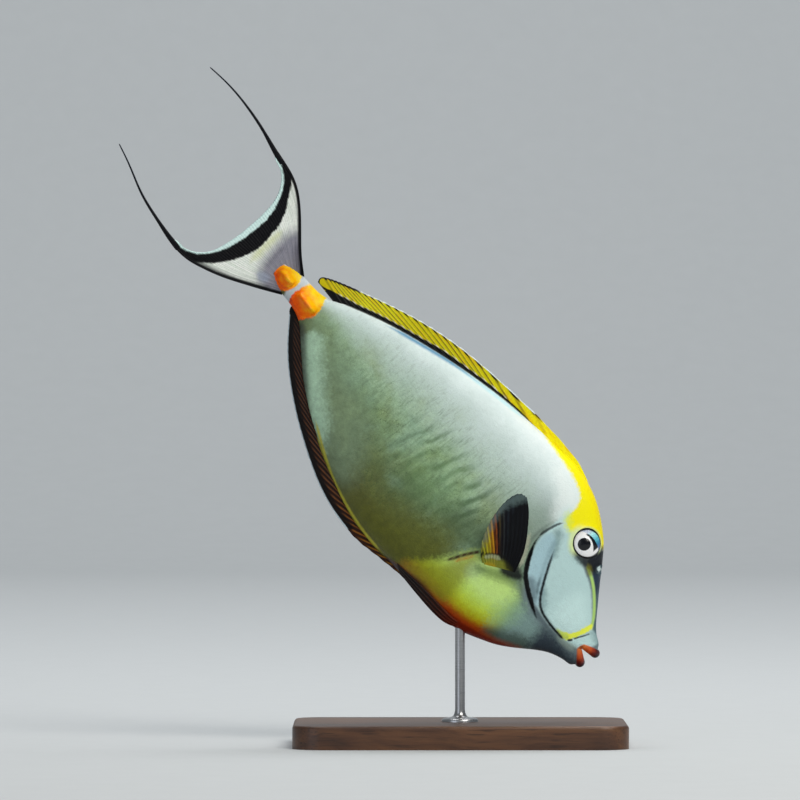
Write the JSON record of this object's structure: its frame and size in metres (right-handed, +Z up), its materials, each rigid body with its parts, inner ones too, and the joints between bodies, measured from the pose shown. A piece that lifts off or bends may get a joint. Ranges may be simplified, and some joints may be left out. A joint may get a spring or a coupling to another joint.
{
  "type": "elegant unicornfish",
  "caption": "Life-size model of a deep-bodied reef fish with long tail streamers, diving nose down, held over a flat wooden base by a short steel rod.",
  "frame": {"origin": "centre of the stand base's underside, on the floor", "axes": "+Z up from the floor, +X the way the fish faces as seen from above, +Y towards its left side"},
  "size_m": [0.3049, 0.12, 0.4071],
  "materials": {
    "skin_silver": "satin, painted to look like wet fine-grained skin",
    "gill_cover_silver": "satin, painted",
    "lip_orange": "satin, painted",
    "keel_orange": "satin, painted",
    "fin_yellow": "satin, painted",
    "fin_brown": "satin, painted",
    "tail_white": "satin, painted",
    "fin_black": "satin, painted",
    "eye_white": "clear gloss",
    "stand_walnut": "oiled",
    "stand_steel": "brushed"
  },
  "bodies": {
    "root": {"head": "skin_silver", "trunk": "skin_silver", "tail_stalk": "skin_silver", "gill_cover_right": "gill_cover_silver", "gill_cover_left": "gill_cover_silver", "lip_upper": "lip_orange", "lip_lower": "lip_orange", "eye_right": "eye_white", "eye_left": "eye_white", "dorsal_fin": "fin_yellow", "anal_fin": "fin_brown", "pectoral_fin_right": "fin_black", "pectoral_fin_left": "fin_black", "pelvic_fin_right": "fin_brown", "pelvic_fin_left": "fin_brown", "tail_fin_upper": "tail_white", "tail_fin_lower": "tail_white", "tail_streamer_upper": "fin_black", "tail_streamer_lower": "fin_black", "keel_front_right": "keel_orange", "keel_front_left": "keel_orange", "keel_rear_right": "keel_orange", "keel_rear_left": "keel_orange", "stand_base": "stand_walnut", "stand_rod": "stand_steel"}
  },
  "joints": []
}
